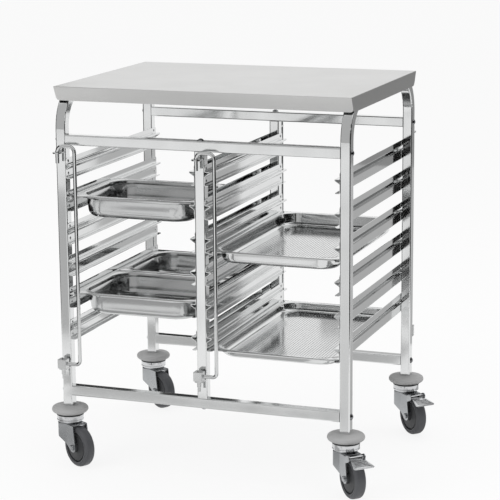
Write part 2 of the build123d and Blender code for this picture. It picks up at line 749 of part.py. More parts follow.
plain_castor = {"fork": fork, "axle": axle, "wheel_core": core, "tyre": tyre}
braked_castor = {
    **plain_castor,
    "fork": braked_fork,
    "brake_pedal": pedal,
    "brake_shoe": shoe,
    "brake_pin": pedal_pin,
}
castors = {
    "front_left": (-leg_x, -leg_y, FRONT_LEFT_TRAIL, plain_castor),
    "rear_left": (-leg_x, leg_y, REAR_LEFT_TRAIL, plain_castor),
    "front_right": (leg_x, -leg_y, FRONT_RIGHT_TRAIL, braked_castor),
    "rear_right": (leg_x, leg_y, REAR_RIGHT_TRAIL, braked_castor),
}
for corner, (x, y, trail_angle, pieces) in castors.items():
    for piece_name, piece in pieces.items():
        with BuildPart() as castor_piece:
            with Locations(Location((x, y, 0), (0, 0, trail_angle))):
                add(piece.part)
        save(castor_piece, f"{corner}_{piece_name}")


def drawn_body(middle, depth, floor, top, wall):
    """The tapered body of a pan with a round floor edge, a wall's thickness inside its outside."""
    body_width = pan_width - 2 * (PAN_RIM + wall)
    body_depth = depth - 2 * (PAN_RIM + wall)
    with BuildPart() as body:
        with BuildSketch(Plane.XY.offset(floor + wall)):
            with Locations(middle):
                RectangleRounded(
                    body_width - 2 * PAN_TAPER,
                    body_depth - 2 * PAN_TAPER,
                    PAN_CORNER - PAN_TAPER - wall,
                )
        with BuildSketch(Plane.XY.offset(top)):
            with Locations(middle):
                RectangleRounded(body_width, body_depth, PAN_CORNER - wall)
        loft()
        fillet(body.faces().sort_by(Axis.Z)[0].edges(), radius=PAN_FLOOR_ROUND - wall)
    return body.part


def pan(name, x, front, rest, depth, height):
    """A drawn pan whose turned-down rim rests at the given height, from the given front edge."""
    middle = (x, front + depth / 2)
    top = rest + PAN_RIM_HEIGHT
    floor = top - PAN_SHEET - height
    with BuildPart() as drawn_pan:
        with BuildSketch(Plane.XY.offset(rest)):
            with Locations(middle):
                RectangleRounded(pan_width, depth, PAN_RIM_CORNER)
        extrude(amount=PAN_RIM_HEIGHT)
        with BuildSketch(Plane.XY.offset(rest)):
            with Locations(middle):
                RectangleRounded(
                    pan_width - 2 * PAN_SHEET,
                    depth - 2 * PAN_SHEET,
                    PAN_RIM_CORNER - PAN_SHEET,
                )
        extrude(amount=PAN_RIM_HEIGHT - PAN_SHEET, mode=Mode.SUBTRACT)
        add(drawn_body(middle, depth, floor, top, 0))
        add(drawn_body(middle, depth, floor, top, PAN_SHEET), mode=Mode.SUBTRACT)
    save(drawn_pan, name)


# Pans: half pans on the left ribs, perforated full pans on the right ledges
pan_front = -half_depth + PAN_SETBACK
second_front = pan_front + HALF_PAN_DEPTH + PAN_SPACING
_, second_rib, third_rib, _, fifth_rib, sixth_rib = rib_tops
third_ledge = third_rib - LEDGE_DROP
sixth_ledge = sixth_rib - LEDGE_DROP
pan("upper_half_pan", -bay_middle, pan_front, second_rib, HALF_PAN_DEPTH, HALF_PAN_HEIGHT)
pan("lower_front_half_pan", -bay_middle, pan_front, fifth_rib, HALF_PAN_DEPTH, HALF_PAN_HEIGHT)
pan("lower_rear_half_pan", -bay_middle, second_front, fifth_rib, HALF_PAN_DEPTH, HALF_PAN_HEIGHT)
pan("upper_perforated_pan", bay_middle, pan_front, third_ledge, pan_depth, DEEP_PERFORATED_PAN)
pan("lower_perforated_pan", bay_middle, pan_front, sixth_ledge, pan_depth, SHALLOW_PERFORATED_PAN)
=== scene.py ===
"""Tray trolley of bright stainless tube and sheet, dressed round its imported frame, in metres."""

import json
import math

import bmesh
import bpy
from mathutils import Matrix, Vector


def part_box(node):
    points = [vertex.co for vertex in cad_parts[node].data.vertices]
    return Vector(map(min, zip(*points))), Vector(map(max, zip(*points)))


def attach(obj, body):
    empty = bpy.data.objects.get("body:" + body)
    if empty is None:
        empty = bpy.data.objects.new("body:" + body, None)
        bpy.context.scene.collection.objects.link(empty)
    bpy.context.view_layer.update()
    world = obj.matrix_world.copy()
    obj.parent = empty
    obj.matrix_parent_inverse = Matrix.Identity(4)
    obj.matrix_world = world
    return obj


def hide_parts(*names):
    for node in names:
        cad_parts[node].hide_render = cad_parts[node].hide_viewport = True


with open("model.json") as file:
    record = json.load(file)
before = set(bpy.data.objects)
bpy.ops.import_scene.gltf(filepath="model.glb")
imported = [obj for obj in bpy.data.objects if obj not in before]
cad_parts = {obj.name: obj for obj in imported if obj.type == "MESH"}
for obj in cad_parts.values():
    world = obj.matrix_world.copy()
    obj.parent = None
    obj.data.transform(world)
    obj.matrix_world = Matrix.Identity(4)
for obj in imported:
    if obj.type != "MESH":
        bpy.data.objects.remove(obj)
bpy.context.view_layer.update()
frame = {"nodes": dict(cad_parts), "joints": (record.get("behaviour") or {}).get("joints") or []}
nodes = frame["nodes"]

# The studio: white paper underfoot in white light, and a camera at the photograph's place, with
# soft lamps at the front and above. Black flags and grey cards that only reflections see stand
# round the trolley, so that its bright steel gets the dark edges that a studio gives it.
CAMERA_PLACE = Vector((1.6052, -4.2759, 1.4866))
CAMERA_AZIMUTH = math.radians(20.298)
CAMERA_ELEVATION = math.radians(12.071)
CAMERA_ROLL = math.radians(-0.4498)
CAMERA_LENS = 134.45
CAMERA_SENSOR = 36.0
FILL_LIGHT = 0.72
FLOOR_WIDTH = 60.0
FLOOR_GLOW = 0.86


def srgb(colour):
    """A hex colour as the linear red, green, blue and alpha of a node's socket."""
    parts = [int(colour[i : i + 2], 16) / 255 for i in (1, 3, 5)]
    linear = [p / 12.92 if p <= 0.04045 else ((p + 0.055) / 1.055) ** 2.4 for p in parts]
    return (*linear, 1.0)


def node(tree, kind, inputs, **settings):
    """Adds a node with its settings, and sets or links its inputs by name or number."""
    made = tree.nodes.new(kind)
    for name, value in settings.items():
        setattr(made, name, value)
    for name, value in inputs.items():
        if isinstance(value, bpy.types.NodeSocket):
            tree.links.new(value, made.inputs[name])
        else:
            made.inputs[name].default_value = value
    return made


ahead = Vector(
    (
        -math.sin(CAMERA_AZIMUTH) * math.cos(CAMERA_ELEVATION),
        math.cos(CAMERA_AZIMUTH) * math.cos(CAMERA_ELEVATION),
        -math.sin(CAMERA_ELEVATION),
    )
)
level = Vector((math.cos(CAMERA_AZIMUTH), math.sin(CAMERA_AZIMUTH), 0))
upright = level.cross(ahead)
across = math.cos(CAMERA_ROLL) * level + math.sin(CAMERA_ROLL) * upright
upward = math.cos(CAMERA_ROLL) * upright - math.sin(CAMERA_ROLL) * level
bpy.ops.object.select_all(action="DESELECT")
bpy.ops.object.camera_add()
camera = bpy.context.object
turn = Matrix((across, upward, -ahead)).transposed().to_4x4()
camera.matrix_world = Matrix.Translation(CAMERA_PLACE) @ turn
camera.data.lens = CAMERA_LENS
camera.data.sensor_width = CAMERA_SENSOR
camera.data.clip_end = FLOOR_WIDTH
bpy.context.scene.camera = camera
bpy.context.scene.view_settings.view_transform = "Standard"


def seen_directly(tree):
    """One for a ray from the camera, a mirror or glass, and nought for a ray that gathers light."""
    path = node(tree, "ShaderNodeLightPath", {})
    mirrored = node(
        tree,
        "ShaderNodeMath",
        {0: path.outputs["Is Glossy Ray"], 1: path.outputs["Is Transmission Ray"]},
        operation="MAXIMUM",
    )
    return node(
        tree,
        "ShaderNodeMath",
        {0: path.outputs["Is Camera Ray"], 1: mirrored.outputs[0]},
        operation="MAXIMUM",
    ).outputs[0]


world = bpy.data.worlds.new("white_studio")
world.use_nodes = True
bpy.context.scene.world = world
tree = world.node_tree
tree.nodes.clear()
white = node(tree, "ShaderNodeBackground", {"Strength": 1.0, "Color": srgb("#FFFFFF")})
fill = node(tree, "ShaderNodeBackground", {"Strength": FILL_LIGHT, "Color": srgb("#FFFFFF")})
shown = node(
    tree, "ShaderNodeMixShader", {0: seen_directly(tree), 1: fill.outputs[0], 2: white.outputs[0]}
)
node(tree, "ShaderNodeOutputWorld", {"Surface": shown.outputs[0]})

bpy.ops.mesh.primitive_plane_add(size=FLOOR_WIDTH)
floor = bpy.context.object
floor.name = "studio_floor"
paper = bpy.data.materials.new("white_paper")
paper.use_nodes = True
tree = paper.node_tree
matt = tree.nodes["Principled BSDF"]
matt.inputs["Base Color"].default_value = srgb("#F4F4F4")
matt.inputs["Roughness"].default_value = 1.0
matt.inputs["Specular IOR Level"].default_value = 0.0
glow = node(tree, "ShaderNodeEmission", {"Strength": 1.0, "Color": srgb("#FFFFFF")})
share = node(tree, "ShaderNodeMath", {0: seen_directly(tree), 1: FLOOR_GLOW}, operation="MULTIPLY")
shown = node(
    tree, "ShaderNodeMixShader", {0: share.outputs[0], 1: matt.outputs[0], 2: glow.outputs[0]}
)
tree.links.new(shown.outputs[0], tree.nodes["Material Output"].inputs["Surface"])
floor.data.materials.append(paper)


def studio_card(name, place, turn, size, grey):
    """A plain card of one grey that only reflections see, turned from facing up, in degrees."""
    bpy.ops.mesh.primitive_plane_add(
        size=1, location=place, rotation=[math.radians(angle) for angle in turn]
    )
    card = bpy.context.object
    card.name = name
    card.scale = (*size, 1)
    paint = bpy.data.materials.new(f"{name}_paint")
    paint.use_nodes = True
    tree = paint.node_tree
    glow = node(tree, "ShaderNodeEmission", {"Strength": grey, "Color": srgb("#FFFFFF")})
    tree.links.new(glow.outputs[0], tree.nodes["Material Output"].inputs["Surface"])
    card.data.materials.append(paint)
    card.visible_camera = False
    card.visible_diffuse = False
    card.visible_transmission = False
    card.visible_shadow = False


# Upright cards and flags stand in front, beside and behind. The others lie on the floor where
# the rails, pans and legs mirror it, and the two slanting ones lie lower, clear of the rest.
FACING_FRONT = (90, 0, 0)
FACING_SIDE = (90, 0, 90)
LYING = (0, 0, 0)
CARD_HEIGHT = 0.002
LOW_CARD_HEIGHT = 0.0015
studio_card("grey_room", (0, -3.9, 4.3), FACING_FRONT, (12.0, 8.0), 0.5)
studio_card("front_left_card", (-1.34, -1.5, 0.225), FACING_FRONT, (1.32, 0.45), 0.52)
studio_card("front_right_flag", (1.16, -1.3, 0.85), FACING_FRONT, (1.08, 1.7), 0.01)
studio_card("right_flag", (1.7, -0.2, 0.85), FACING_SIDE, (2.2, 1.7), 0.01)
studio_card("left_flag", (-1.6, 0.15, 0.85), FACING_SIDE, (3.7, 1.7), 0.01)
studio_card("rear_right_card", (0.645, 1.1, 0.275), FACING_FRONT, (0.4, 0.55), 0.5)
studio_card("rear_lip_card", (1.07, 1.1, 1.075), FACING_FRONT, (1.25, 1.05), 0.3)
studio_card("rear_middle_card", (0.035, 1.1, 0.3), FACING_FRONT, (0.37, 0.6), 0.55)
studio_card("rear_left_flag", (-1.05, 1.3, 0.575), FACING_FRONT, (1.1, 0.45), 0.02)
studio_card("front_floor_card", (-0.2335, -0.85, CARD_HEIGHT), LYING, (0.797, 0.1), 0.55)
studio_card("lower_pan_card", (-0.54, -0.98, CARD_HEIGHT), LYING, (0.36, 0.16), 0.5)
studio_card("upper_pan_card", (-0.825, -1.585, CARD_HEIGHT), LYING, (0.45, 0.33), 0.3)
studio_card("rear_floor_card", (-0.37, -0.45, CARD_HEIGHT), LYING, (1.06, 0.3), 0.5)
studio_card("right_leg_card", (-0.347, -2.53, LOW_CARD_HEIGHT), (0, 0, -17.3), (0.12, 3.79), 0.72)
studio_card("right_side_card", (0.59, 0.47, LOW_CARD_HEIGHT), (0, 0, -17.1), (0.3, 1.3), 0.5)

# The lamps give light and shadow and stay out of the steel, which would show them as white dashes.
LAMP_AIM = Vector((0, 0, 0.5))
for name, place, size, watts in (
    ("front_softbox", (-2.2, -3.2, 2.6), 1.8, 34),
    ("top_softbox", (0.3, 0.4, 3.4), 2.2, 30),
    ("right_fill", (3.0, -2.4, 1.6), 1.4, 9),
):
    bpy.ops.object.light_add(type="AREA", location=place)
    lamp = bpy.context.object
    lamp.name = name
    lamp.data.size = size
    lamp.data.energy = watts
    lamp.rotation_euler = (LAMP_AIM - Vector(place)).to_track_quat("-Z", "Y").to_euler()
    lamp.visible_glossy = False

# Side frames, rails and posts: square stainless tube, bent and sawn, then polished along its
# length, so that it mirrors the room. The lines are drawn coarser than the real ones, to show.
LINE_SPACING = 0.0012
LINE_LENGTH = 0.25
LINE_DETAIL = 2.0
SMUDGE_SIZE = 0.09
SMUDGE_DETAIL = 3.0
SMUDGE_RANGE = (0.3, 0.7)


def worn_surface(name, colours, roughness, pattern, detail, height):
    """A material with a relief of so many marks to the metre, and smudges in tint and gloss."""
    material = bpy.data.materials.new(name)
    material.use_nodes = True
    tree = material.node_tree
    shader = tree.nodes["Principled BSDF"]
    place = node(tree, "ShaderNodeTexCoord", {}).outputs["Object"]
    scaled = node(tree, "ShaderNodeMapping", {"Vector": place, "Scale": pattern})
    marks = node(
        tree, "ShaderNodeTexNoise", {"Vector": scaled.outputs[0], "Scale": 1.0, "Detail": detail}
    )
    smudges = node(
        tree,
        "ShaderNodeTexNoise",
        {"Vector": place, "Scale": 1 / SMUDGE_SIZE, "Detail": SMUDGE_DETAIL},
    )
    tint = node(
        tree,
        "ShaderNodeMix",
        {0: smudges.outputs[0], 6: srgb(colours[0]), 7: srgb(colours[1])},
        data_type="RGBA",
    )
    gloss = node(
        tree,
        "ShaderNodeMapRange",
        {
            "Value": smudges.outputs[0],
            "From Min": SMUDGE_RANGE[0],
            "From Max": SMUDGE_RANGE[1],
            "To Min": roughness[0],
            "To Max": roughness[1],
        },
    )
    relief = node(
        tree,
        "ShaderNodeBump",
        {"Height": marks.outputs[0], "Strength": 1.0, "Distance": height},
    )
    tree.links.new(tint.outputs[2], shader.inputs["Base Color"])
    tree.links.new(gloss.outputs[0], shader.inputs["Roughness"])
    tree.links.new(relief.outputs[0], shader.inputs["Normal"])
    return material


def steel(name, colour, worn_colour, roughness, line_axis, line_height):
    """Steel with the lines of its polishing or rolling along one axis."""
    stretch = [1 / LINE_SPACING] * 3
    stretch[line_axis] = 1 / LINE_LENGTH
    material = worn_surface(
        name, (colour, worn_colour), roughness, stretch, LINE_DETAIL, line_height
    )
    material.node_tree.nodes["Principled BSDF"].inputs["Metallic"].default_value = 1.0
    return material


def dress(material, *names):
    """Gives CAD nodes their finished material."""
    for name in names:
        for place in nodes[name].material_slots:
            place.material = material


upright_tube = steel("polished_stainless_tube_upright", "#E6E7E7", "#DFE0E0", (0.08, 0.14), 2, 5e-7)
level_tube = steel("polished_stainless_tube_level", "#E6E7E7", "#DFE0E0", (0.08, 0.14), 0, 5e-7)
dress(upright_tube, "left_side_frame", "right_side_frame", "front_middle_post", "rear_middle_post")
dress(level_tube, "front_upper_rail", "rear_upper_rail", "front_lower_rail", "rear_lower_rail")

# Frame bolts, end plugs, studs and cap nuts: turned stainless fasteners that hold the rails to the
# legs and the worktop to the side frames. Tumbling leaves them a soft finish, and their grey,
# darker than the tube, is a painted reflection of the dark surroundings that they mirror.
fasteners_painted_dark = steel("tumbled_stainless_fasteners", "#8E8F91", "#828385", (0.16, 0.26), 0, 1e-6)
dress(
    fasteners_painted_dark,
    "frame_bolts",
    "tube_end_plugs",
    "worktop_studs",
    "worktop_cap_nuts",
)

# Worktop: one stainless sheet folded down on its four sides, round at the lips' ends, with channels
# to stiffen it. Brushing along its length gives the top an even, soft grey. The underside and the
# channels get a darker grey, partly the dull mill finish and partly painted shade for the shadow
# under the top.
WORKTOP_SHEET = 0.0012
WORKTOP_FOLD = 0.0022
LIP_LEAN = 0.018
LIP_ROUND = 0.009
NEAR = 1e-5
MERGE_GAP = 1e-6
SMOOTH_ANGLE = math.radians(35)


def start_piece(name):
    """Names the primitive just added and opens it in edit mode."""
    piece = bpy.context.object
    piece.name = name
    piece.data.name = name
    bpy.ops.object.mode_set(mode="EDIT")
    return piece


def pick(piece, kind, test):
    """Selects the open mesh's vertices, edges or faces whose middle passes a test."""
    bpy.context.tool_settings.mesh_select_mode = (kind == "verts", kind == "edges", kind == "faces")
    bpy.ops.mesh.select_all(action="DESELECT")
    mesh = bmesh.from_edit_mesh(piece.data)
    mesh.verts.index_update()
    for part in getattr(mesh, kind):
        if kind == "verts":
            middle = part.co
        elif kind == "edges":
            middle = (part.verts[0].co + part.verts[1].co) / 2
        else:
            middle = part.calc_center_median()
        if test(part, middle):
            part.select_set(True)
    mesh.select_flush_mode()
    bmesh.update_edit_mesh(piece.data)


def add_modifier(piece, kind, **settings):
    """Adds a modifier with its settings to the piece and applies it."""
    bpy.context.view_layer.objects.active = piece
    made = piece.modifiers.new(kind.lower(), kind)
    for name, value in settings.items():
        setattr(made, name, value)
    bpy.ops.object.modifier_apply(modifier=made.name)


def finish_piece(piece, material, body, replaced):
    """Sets a finished piece's material, smooth shading and body, and hides the nodes it stands for.
    """
    bpy.ops.object.select_all(action="DESELECT")
    piece.select_set(True)
    bpy.context.view_layer.objects.active = piece
    bpy.ops.object.transform_apply(location=True, rotation=True, scale=True)
    bpy.ops.object.shade_smooth_by_angle(angle=SMOOTH_ANGLE)
    if not piece.data.materials:
        piece.data.materials.append(material)
    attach(piece, body)
    if replaced:
        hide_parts(*replaced)


low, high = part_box("worktop")
lip = high.z - low.z
bpy.ops.object.select_all(action="DESELECT")
bpy.ops.mesh.primitive_cube_add(
    size=1, location=(low + high) / 2, scale=(high.x - low.x, high.y - low.y, lip)
)
bpy.ops.object.transform_apply(location=True, rotation=False, scale=True)
worktop = start_piece("worktop_sheet")
pick(worktop, "verts", lambda part, middle: middle.z < low.z + lip / 2)
shrink = 1 - 2 * LIP_LEAN / (high.y - low.y)
bpy.ops.transform.resize(value=(1, shrink, 1), center_override=(0, 0, low.z))
bpy.ops.mesh.bevel(offset=LIP_ROUND, segments=5, affect="VERTICES")
pick(
    worktop,
    "faces",
    lambda part, middle: middle.z < low.z + LIP_ROUND
    and (part.normal.z < -0.9 or max(v.co.z for v in part.verts) < low.z + lip / 2),
)
bpy.ops.mesh.delete(type="FACE")
pick(
    worktop,
    "edges",
    lambda part, middle: middle.z > low.z + LIP_ROUND
    and all(v.co.z > low.z + LIP_ROUND - NEAR for v in part.verts),
)
bpy.ops.mesh.bevel(offset=WORKTOP_FOLD, segments=4, affect="EDGES")
bpy.ops.mesh.select_all(action="SELECT")
bpy.ops.mesh.remove_doubles(threshold=MERGE_GAP)
bpy.ops.object.mode_set(mode="OBJECT")
brushed_sheet = steel("brushed_stainless_sheet", "#D0D0CF", "#CCCCCB", (0.3, 0.34), 0, 2e-7)
# Darker grey for the underside and channels: mill finish with painted shade from under the top.
mill_grey_and_painted_shade = steel("dull_mill_finish_stainless", "#A9AAAA", "#9E9F9F", (0.4, 0.5), 0, 2e-7)
worktop.data.materials.append(brushed_sheet)
worktop.data.materials.append(mill_grey_and_painted_shade)
add_modifier(worktop, "SOLIDIFY", thickness=WORKTOP_SHEET, offset=-1, material_offset=1)
finish_piece(worktop, brushed_sheet, "frame", ["worktop"])
dress(mill_grey_and_painted_shade, "worktop_stiffeners")

# Runner columns: six plates to a column, rolled from bright sheet with a rib to carry a pan and a
# ledge along the bottom, and riveted to the legs and posts. Bright rolling makes them mirrors,
# which break the room into light and dark bands.
runner_sheet = steel("bright_rolled_stainless_runners", "#E0E1E1", "#D8D9D9", (0.05, 0.09), 1, 5e-7)
dress(
    runner_sheet,
    "left_runners",
    "middle_left_runners",
    "middle_right_runners",
    "right_runners",
    "runner_rivets",
)

# Lock bars: stainless rod, bent over at the top and into a square block at the bottom, which
# swings on pins in the lugs on the posts. Drawing leaves the rod bright, with one sharp highlight,
# and the blocks and lugs are satin, with a wider and softer one.
rod_steel = steel("bright_drawn_stainless_rod", "#DADBDB", "#D0D1D1", (0.08, 0.13), 2, 5e-7)
block_steel = steel("satin_stainless_blocks", "#D6D7D7", "#CACBCB", (0.2, 0.3), 2, 1e-6)
for name in ("front_left", "front_middle", "rear_right", "rear_middle"):
    dress(rod_steel, f"{name}_lock_bar")
    dress(block_steel, f"{name}_lock_block")
dress(block_steel, "lock_bar_lugs")

# Castor heads: a grey moulded bumper disc under each leg, matt and even, and below it a bright
# zinc-plated bearing cup with a rolled groove. A black ring between the two is painted shade for
# the dark gap under the bumper, and the zinc on the races and pins inside is a duller blue-grey.
MM = 0.001
TURN_STEPS = 72
GRAIN_DETAIL = 3.0


def moulded(name, colour, worn_colour, roughness, grain_size, grain_height):
    """Plastic or rubber with its mould's grain, drawn coarse enough to show."""
    grain = [1 / grain_size] * 3
    return worn_surface(
        name, (colour, worn_colour), roughness, grain, GRAIN_DETAIL, grain_height
    )


def draw_outline(name, points, plane="XZ"):
    """Draws a closed outline point by point from one vertex, in millimetres, and fills it."""
    spots = [Vector((a, 0, b)) if plane == "XZ" else Vector((a, b, 0)) for a, b in points]
    bpy.ops.object.select_all(action="DESELECT")
    bpy.ops.mesh.primitive_plane_add(size=MM)
    piece = start_piece(name)
    bpy.context.tool_settings.mesh_select_mode = (True, False, False)
    bpy.ops.mesh.select_all(action="SELECT")
    bpy.ops.mesh.merge(type="CENTER")
    bpy.ops.transform.translate(value=spots[0] * MM)
    for here, there in zip(spots, spots[1:]):
        bpy.ops.mesh.extrude_region_move(TRANSFORM_OT_translate={"value": (there - here) * MM})
    bpy.ops.mesh.select_all(action="SELECT")
    bpy.ops.mesh.edge_face_add()
    return piece


def arc(middle, radius, start, end, steps):
    """Points along a round corner, from one angle to another in degrees."""
    turns = [math.radians(start + (end - start) * i / steps) for i in range(steps + 1)]
    return [(middle[0] + radius * math.cos(t), middle[1] + radius * math.sin(t)) for t in turns]


def turned(name, points):
    """A ring spun round the Z axis from the outline of its section, in millimetres."""
    ring = draw_outline(name, points)
    bpy.ops.mesh.select_all(action="SELECT")
    bpy.ops.mesh.delete(type="ONLY_FACE")
    bpy.ops.mesh.select_all(action="SELECT")
    bpy.ops.mesh.spin(
        steps=TURN_STEPS, angle=math.radians(360), center=(0, 0, 0), axis=(0, 0, 1)
    )
    bpy.ops.mesh.select_all(action="SELECT")
    bpy.ops.mesh.remove_doubles(threshold=MERGE_GAP)
    bpy.ops.mesh.normals_make_consistent(inside=False)
    bpy.ops.object.mode_set(mode="OBJECT")
    return ring


def set_down(pattern, name, place, turn):
    """Copies a piece modelled at the origin to its place, turned about its upright axis."""
    bpy.ops.object.select_all(action="DESELECT")
    pattern.select_set(True)
    bpy.context.view_layer.objects.active = pattern
    bpy.ops.object.duplicate()
    piece = bpy.context.object
    piece.name = name
    piece.data.name = name
    piece.location = place
    piece.rotation_euler.z = turn
    return piece


corners = ("front_left", "rear_left", "front_right", "rear_right")
pivots = {}
trails = {}
for joint in frame["joints"]:
    for corner in corners:
        if joint["name"] == f"{corner}_swivel_turn":
            pivots[corner] = Vector((joint["pos_m"][0], joint["pos_m"][1], 0))
            low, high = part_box(f"{corner}_tyre")
            reach = (low + high) / 2 - pivots[corner]
            trails[corner] = math.atan2(reach.y, reach.x)

bumper_plastic = moulded("grey_polypropylene", "#B2B2B2", "#ACACAC", (0.5, 0.6), 0.0012, 2e-5)
# Black rubber for the ring under each bumper, which is painted shade for the gap there.
shade_ring_rubber = moulded("black_seal_rubber", "#151617", "#1B1C1D", (0.5, 0.6), 0.001, 1e-5)
bright_zinc = steel("bright_zinc_plate", "#DADBDC", "#CBCCCE", (0.12, 0.2), 2, 1e-6)
zinc = steel("zinc_plated_steel", "#B9BBBD", "#A9ABAD", (0.22, 0.34), 2, 1e-6)
bumper = turned(
    "bumper",
    [
        (6.1, 149),
        (19, 149),
        (27, 148.5),
        (34.5, 147.3),
        *arc((37.5, 139), 7.5, 60, -60, 10),
        (37.5, 130.4),
        (34, 129.4),
        (30, 129),
        (6.1, 129),
    ],
)
cup = turned(
    "cup",
    [
        (6.1, 129),
        *arc((29, 125), 4, 90, 0, 5),
        (33, 117),
        (32.2, 116.2),
        (32.2, 114.8),
        (33, 114),
        (33, 111.2),
        (31.8, 110),
        (30.5, 110),
        (30.5, 126.5),
        (6.1, 126.5),
    ],
)
# A black ring set into the gap under the bumper, as painted shade.
seal = turned(
    "seal",
    [(30.4, 128.95), (33.6, 128.95), (33.6, 125.4), (33.05, 125.4), (32.7, 126.8), (31.8, 128)],
)
for corner in corners:
    finish_piece(
        set_down(bumper, f"{corner}_bumper", pivots[corner], 0),
        bumper_plastic,
        "frame",
        ["castor_bumpers"],
    )
    finish_piece(
        set_down(cup, f"{corner}_head_cup", pivots[corner], 0),
        bright_zinc,
        "frame",
        ["castor_head_cups"],
    )
    finish_piece(
        set_down(seal, f"{corner}_head_seal", pivots[corner], 0),
        shade_ring_rubber,
        "frame",
        [],
    )
for pattern in (bumper, cup, seal):
    bpy.data.objects.remove(pattern)
dress(zinc, "castor_ball_races", "castor_kingpins", "castor_expanders")

# Castor forks: one sheet folded round the back of a crown, drawn in to two cheeks and trimmed
# slantwise to the axle. The braked ones carry ears for the pedal's pin. Zinc plate over a pressed
# surface gives them a satin grey.
FORK_SHEET = 2.5
FORK_FOLD = 3.0
FORK_TOP = 107.5
FORK_TRIM_LOW = 34.0
FORK_REACH = 52.0
TRIM_HALF_WIDTH = 32.0
EAR_THICKNESS = 2.4
EAR_PLACE = 19.05
EAR_BEVEL = 0.5
EAR_ROUND = 8.0
PIN_PLACE = (56, 103.56)
EAR_ROOT = (38, 95.56)
AXLE_PLACE = (38, 50)
AXLE_ROUND = 12.0
A_HAIR = 0.01


def outwards(piece, test):
    """Turns the open mesh's faces outwards, judged by a face that passes the test and faces up."""
    bpy.ops.mesh.select_all(action="SELECT")
    bpy.ops.mesh.normals_make_consistent(inside=False)
    mesh = bmesh.from_edit_mesh(piece.data)
    if sum(f.normal.z * f.calc_area() for f in mesh.faces if test(f.calc_center_median())) < 0:
        bpy.ops.mesh.flip_normals()


def prism(name, points, start, thickness):
    """A plate with the given XZ outline, from one Y to another, in millimetres."""
    plate = draw_outline(name, points)
    bpy.ops.transform.translate(value=(0, start * MM, 0))
    bpy.ops.mesh.extrude_region_move(TRANSFORM_OT_translate={"value": (0, thickness * MM, 0)})
    bpy.ops.mesh.select_all(action="SELECT")
    bpy.ops.mesh.normals_make_consistent(inside=False)
    return plate


def join(piece, *others):
    """Joins finished parts into one piece."""
    bpy.ops.object.select_all(action="DESELECT")
    for part in (piece, *others):
        part.select_set(True)
    bpy.context.view_layer.objects.active = piece
    bpy.ops.object.join()


half_crown = [
    (FORK_REACH, 21.5),
    (12.1, 21.5),
    (10.0, 21.9),
    (-8.0, 28.6),
    (-9.3, 28.9),
    (-10.7, 28.9),
    *arc((0, 0), 31, 113, 180, 14),
]
plain_fork = draw_outline(
    "plain_fork", [*half_crown, *[(x, -y) for x, y in reversed(half_crown[:-1])]], "XY"
)
bpy.ops.transform.translate(value=(0, 0, FORK_TOP * MM))
pick(plain_fork, "edges", lambda part, place: place.x < (FORK_REACH - A_HAIR) * MM)
bpy.ops.mesh.extrude_region_move(
    TRANSFORM_OT_translate={"value": (0, 0, (FORK_TRIM_LOW - FORK_TOP) * MM)}
)
pick(
    plain_fork,
    "edges",
    lambda part, place: place.z > (FORK_TOP - A_HAIR) * MM
    and place.x < (FORK_REACH - A_HAIR) * MM,
)
bpy.ops.mesh.bevel(offset=FORK_FOLD * MM, segments=4, affect="EDGES")
outwards(plain_fork, lambda place: place.z > (FORK_TOP - A_HAIR) * MM)
bpy.ops.object.mode_set(mode="OBJECT")
add_modifier(plain_fork, "SOLIDIFY", thickness=FORK_SHEET * MM, offset=-1)
side_outline = [
    (40, 110),
    (40, FORK_TOP),
    *arc(AXLE_PLACE, AXLE_ROUND, 10, -126.4, 14),
    (-32, 86.7),
    (-32, 110),
]
trim = prism("trim", side_outline, -TRIM_HALF_WIDTH, 2 * TRIM_HALF_WIDTH)
bpy.ops.object.mode_set(mode="OBJECT")
add_modifier(plain_fork, "BOOLEAN", operation="INTERSECT", object=trim, solver="EXACT")
bpy.data.objects.remove(trim)
braked_fork = set_down(plain_fork, "braked_fork", (0, 0, 0), 0)
ear_outline = [
    *arc(PIN_PLACE, EAR_ROUND, 114, -66, 12),
    *arc(EAR_ROOT, EAR_ROUND, -66, -246, 12),
]
for side in (-1, 1):
    ear = prism("ear", ear_outline, side * EAR_PLACE, side * EAR_THICKNESS)
    pick(ear, "faces", lambda part, place: abs(part.normal.y) > 0.9)
    bpy.ops.mesh.bevel(offset=EAR_BEVEL * MM, segments=2, affect="EDGES")
    bpy.ops.object.mode_set(mode="OBJECT")
    join(braked_fork, ear)
for corner in corners:
    pattern = braked_fork if "right" in corner else plain_fork
    finish_piece(
        set_down(pattern, f"{corner}_pressed_fork", pivots[corner], trails[corner]),
        zinc,
        f"{corner}_swivel",
        [f"{corner}_fork"],
    )
    dress(zinc, f"{corner}_axle")
bpy.data.objects.remove(plain_fork)
bpy.data.objects.remove(braked_fork)

# Wheels: a dark nylon core with flat sides and a groove round them, and a grey rubber tyre
# moulded on to it with a round tread. Both are smooth from the mould, with a dim, wide sheen.
tyre_rubber = moulded("grey_rubber", "#56575A", "#4F5053", (0.42, 0.52), 0.001, 3e-5)
core_plastic = moulded("dark_nylon", "#38393B", "#323335", (0.45, 0.55), 0.001, 1e-5)


def wheel_ring(name, half_outline):
    """A ring on the castor's axle, from the upper half of its section."""
    ring = turned(name, [*half_outline, *[(r, -z) for r, z in reversed(half_outline)]])
    ring.rotation_euler.x = math.radians(90)
    bpy.ops.object.transform_apply(location=False, rotation=True, scale=False)
    return ring


